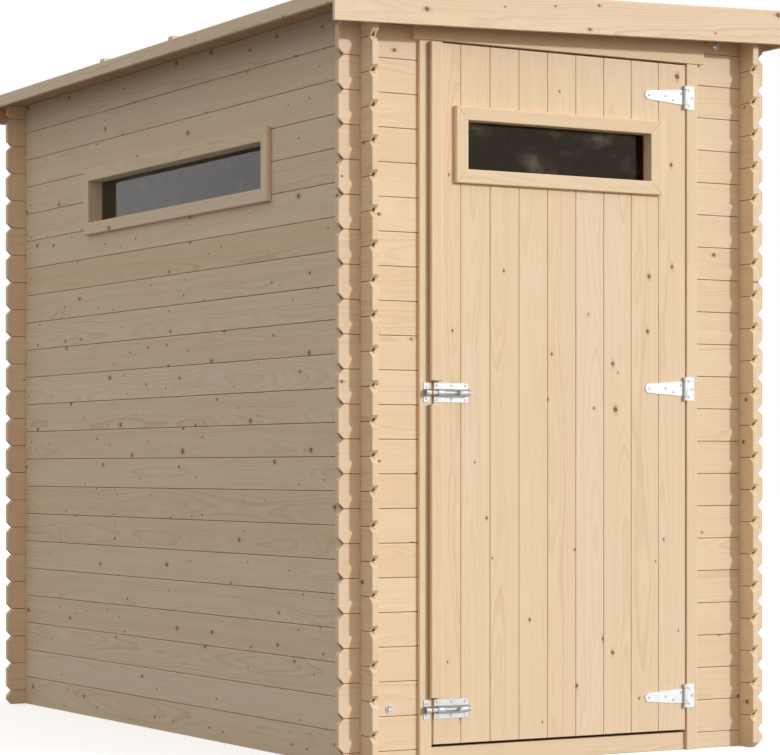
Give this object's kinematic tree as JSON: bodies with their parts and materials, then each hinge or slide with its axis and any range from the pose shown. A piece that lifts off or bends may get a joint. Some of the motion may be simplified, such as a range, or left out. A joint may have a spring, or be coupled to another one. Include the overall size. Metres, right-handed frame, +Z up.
{
  "type": "garden shed",
  "caption": "Small timber garden shed of interlocking horizontal boards, with a low sloping roof, a hinged plank door with bolts, and narrow high windows.",
  "frame": {"origin": "on the ground at the centre of the plan, under the middle of the roof's outline", "axes": "+X to the right along the front as seen by someone who faces the door, +Y to the back, +Z up"},
  "size_m": [1.46, 2.421, 2.0169],
  "materials": {
    "wall_timber": "bare planed softwood with small knots",
    "floor_timber": "bare sawn softwood",
    "roofing_felt": "mineral-surfaced bitumen felt",
    "galvanised_steel": "bright galvanised steel",
    "window_glass": "clear flat glazing"
  },
  "bodies": {
    "shed": {"left_wall": "wall_timber", "right_wall": "wall_timber", "back_wall": "wall_timber", "front_wall_left": "wall_timber", "front_wall_right": "wall_timber", "front_wall_top": "wall_timber", "door_sill": "wall_timber", "door_jamb_left": "wall_timber", "door_jamb_right": "wall_timber", "door_header": "wall_timber", "floor_bearers": "floor_timber", "floor_boards": "floor_timber", "roof_purlin": "wall_timber", "roof_boards": "wall_timber", "roof_felt": "roofing_felt", "roof_battens": "wall_timber", "fascia_front": "wall_timber", "fascia_back": "wall_timber", "fascia_left": "wall_timber", "fascia_right": "wall_timber", "side_window_trim": "wall_timber", "side_window_inner_trim": "wall_timber", "side_window_frame": "wall_timber", "side_window_glass": "window_glass", "bolt_keepers": "galvanised_steel", "hinge_plates": "galvanised_steel", "wall_bolts": "galvanised_steel"},
    "door": {"door_leaf": "wall_timber", "door_ledges": "wall_timber", "door_brace": "wall_timber", "door_window_trim": "wall_timber", "door_window_inner_trim": "wall_timber", "door_window_frame": "wall_timber", "door_window_glass": "window_glass", "door_cover_strip": "wall_timber", "hinge_straps": "galvanised_steel", "bolt_bases": "galvanised_steel"},
    "middle_bolt": {"middle_bolt_rod": "galvanised_steel"},
    "bottom_bolt": {"bottom_bolt_rod": "galvanised_steel"}
  },
  "joints": [
    {"name": "door_hinge", "type": "hinge", "parent": "shed", "child": "door", "pos_m": [0.392, -1.1355, 0.954], "axis": [0, 0, 1], "range_deg": [0, 160]},
    {"name": "middle_bolt_slide", "type": "slide", "parent": "door", "child": "middle_bolt", "axis": [-1, 0, 0], "range_m": [0, 0.036]},
    {"name": "bottom_bolt_slide", "type": "slide", "parent": "door", "child": "bottom_bolt", "axis": [-1, 0, 0], "range_m": [0, 0.036]}
  ]
}
